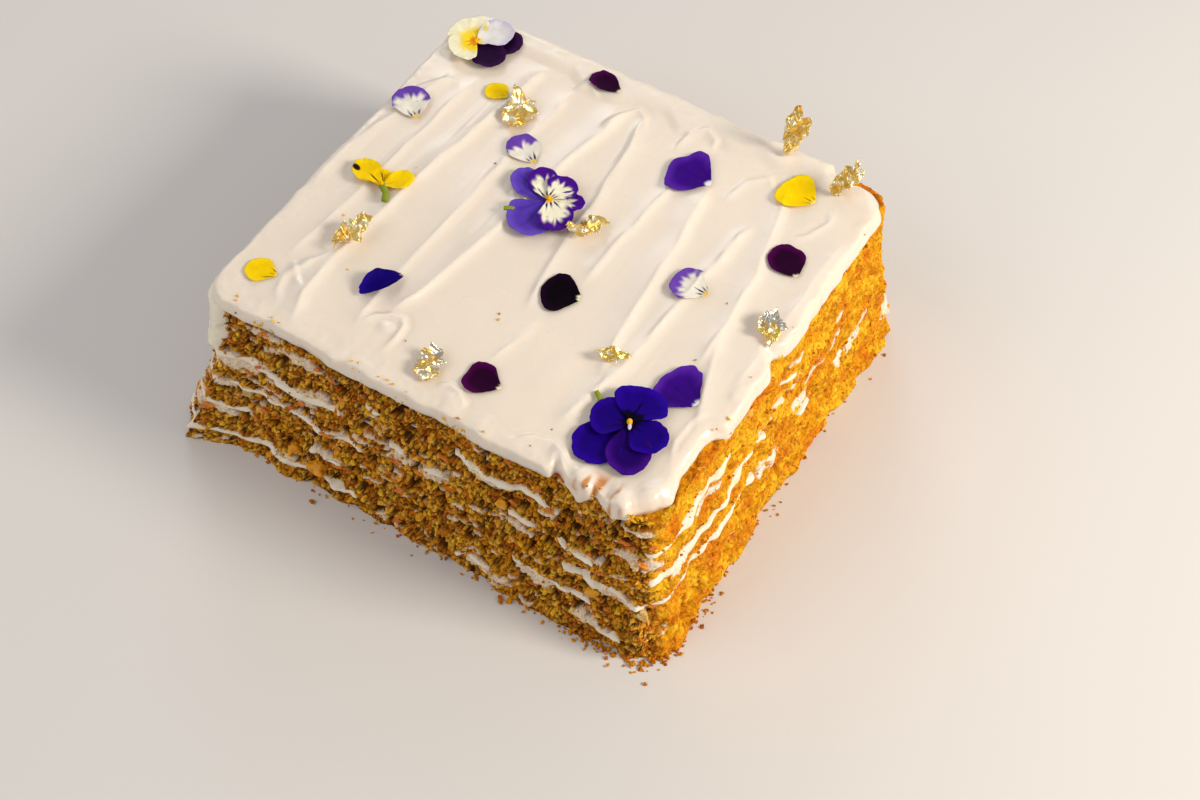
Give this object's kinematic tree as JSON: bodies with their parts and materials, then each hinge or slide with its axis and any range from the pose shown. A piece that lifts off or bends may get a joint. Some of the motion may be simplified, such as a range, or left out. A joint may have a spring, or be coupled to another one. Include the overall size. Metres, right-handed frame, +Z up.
{
  "type": "carrot cake",
  "caption": "Square layered carrot cake: rough sponge layers with cream between them, ridged icing on top, and scattered violas, loose petals and gold leaf.",
  "frame": {"origin": "centre of the cake's flat underside", "axes": "+Z up through the layers, +X to the right along the longer side, -Y towards the front"},
  "size_m": [0.1818, 0.1674, 0.0836],
  "materials": {
    "icing": "soft satin cream",
    "sponge": "rough open crumb",
    "cream": "soft satin cream",
    "petal_violet": "velvety",
    "petal_plum": "velvety",
    "petal_lilac": "velvety",
    "petal_yellow": "velvety",
    "petal_pale": "velvety",
    "gold_leaf": "crumpled leaf"
  },
  "bodies": {
    "root": {"icing": "icing", "smear": "icing", "sponge_1": "sponge", "sponge_2": "sponge", "sponge_3": "sponge", "sponge_4": "sponge", "sponge_5": "sponge", "sponge_6": "sponge", "cream_1": "cream", "cream_2": "cream", "cream_3": "cream", "cream_4": "cream", "cream_5": "cream", "viola_front": "petal_violet", "viola_middle": "petal_lilac", "viola_back": "petal_pale", "viola_yellow": "petal_yellow", "petal_lilac_back": "petal_lilac", "petal_lilac_left": "petal_lilac", "petal_lilac_right": "petal_lilac", "petal_yellow_back": "petal_yellow", "petal_yellow_left": "petal_yellow", "petal_yellow_right": "petal_yellow", "petal_plum_back": "petal_plum", "petal_plum_front": "petal_plum", "petal_plum_right": "petal_plum", "petal_black": "petal_plum", "petal_blue_curled": "petal_violet", "petal_violet_front": "petal_violet", "petal_violet_right": "petal_violet", "gold_1": "gold_leaf", "gold_2": "gold_leaf", "gold_3": "gold_leaf", "gold_4": "gold_leaf", "gold_5": "gold_leaf", "gold_6": "gold_leaf", "gold_7": "gold_leaf", "gold_8": "gold_leaf"}
  },
  "joints": []
}
